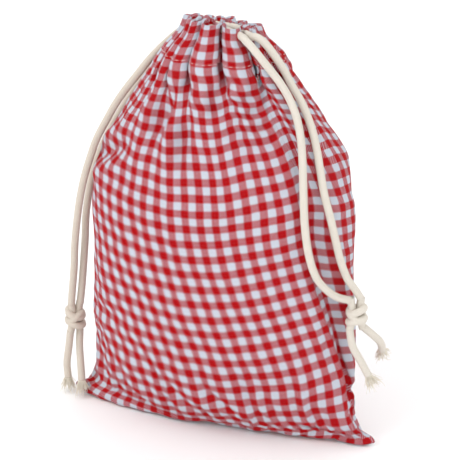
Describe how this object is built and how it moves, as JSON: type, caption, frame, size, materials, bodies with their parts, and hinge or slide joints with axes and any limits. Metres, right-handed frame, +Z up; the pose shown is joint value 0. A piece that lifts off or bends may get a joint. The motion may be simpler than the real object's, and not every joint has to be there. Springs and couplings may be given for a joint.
{
  "type": "drawstring gift sack",
  "caption": "Plump gingham cloth gift sack with a gathered mouth, a cord casing split at the sides, and drawstrings that end in knotted, frayed tails.",
  "frame": {"origin": "middle of the base, on the surface that the sack stands on", "axes": "+X along the width towards the viewer's right, -Y towards the front face, +Z up"},
  "size_m": [0.2077, 0.086, 0.254],
  "materials": {
    "gingham_cotton": "matte plain-weave cotton, red and white check of 4.75 mm squares",
    "cotton_cord": "matte natural cotton cord, soft twisted braid with frayed ends",
    "white_thread": "matte cotton sewing thread"
  },
  "bodies": {
    "sack": {"front_panel": "gingham_cotton", "back_panel": "gingham_cotton", "left_seam_allowance": "gingham_cotton", "right_seam_allowance": "gingham_cotton", "bottom_seam_allowance": "gingham_cotton", "left_seam_tack": "white_thread", "right_seam_tack": "white_thread", "left_cord_crossing": "cotton_cord", "right_cord_crossing": "cotton_cord"},
    "front_mouth": {"front_casing": "gingham_cotton", "front_casing_stitching": "white_thread", "front_upper_cord_run": "cotton_cord", "front_lower_cord_run": "cotton_cord"},
    "back_mouth": {"back_casing": "gingham_cotton", "back_casing_stitching": "white_thread", "back_upper_cord_run": "cotton_cord", "back_lower_cord_run": "cotton_cord"},
    "left_pull": {"left_front_strand": "cotton_cord", "left_back_strand": "cotton_cord"},
    "right_pull": {"right_front_strand": "cotton_cord", "right_back_strand": "cotton_cord"},
    "left_knot_end": {"left_knot": "cotton_cord", "left_front_tail": "cotton_cord", "left_back_tail": "cotton_cord"},
    "right_knot_end": {"right_knot": "cotton_cord", "right_front_tail": "cotton_cord", "right_back_tail": "cotton_cord"}
  },
  "joints": [
    {"name": "front_mouth_slide", "type": "slide", "parent": "sack", "child": "front_mouth", "axis": [-0.454, -0.891, 0], "range_m": [0, 0.015]},
    {"name": "back_mouth_slide", "type": "slide", "parent": "sack", "child": "back_mouth", "axis": [0.454, 0.891, 0], "range_m": [0, 0.015]},
    {"name": "left_cord_pull", "type": "slide", "parent": "sack", "child": "left_pull", "axis": [0, 0, 1], "range_m": [0, 0.03], "deforming": ["left_front_strand", "left_back_strand"]},
    {"name": "right_cord_pull", "type": "slide", "parent": "sack", "child": "right_pull", "axis": [0, 0, 1], "range_m": [0, 0.03], "deforming": ["right_front_strand", "right_back_strand"]},
    {"name": "left_knot_swing", "type": "hinge", "parent": "left_pull", "child": "left_knot_end", "pos_m": [-0.097, -0.003, 0.0585], "axis": [0, 1, 0], "range_deg": [0, 35]},
    {"name": "right_knot_swing", "type": "hinge", "parent": "right_pull", "child": "right_knot_end", "pos_m": [0.089, -0.009, 0.0955], "axis": [0, -1, 0], "range_deg": [0, 35]}
  ],
  "couplings": [
    {"joint": "back_mouth_slide", "follows": "front_mouth_slide", "ratio": 1},
    {"joint": "left_cord_pull", "follows": "front_mouth_slide", "ratio": 2},
    {"joint": "right_cord_pull", "follows": "front_mouth_slide", "ratio": 2}
  ]
}
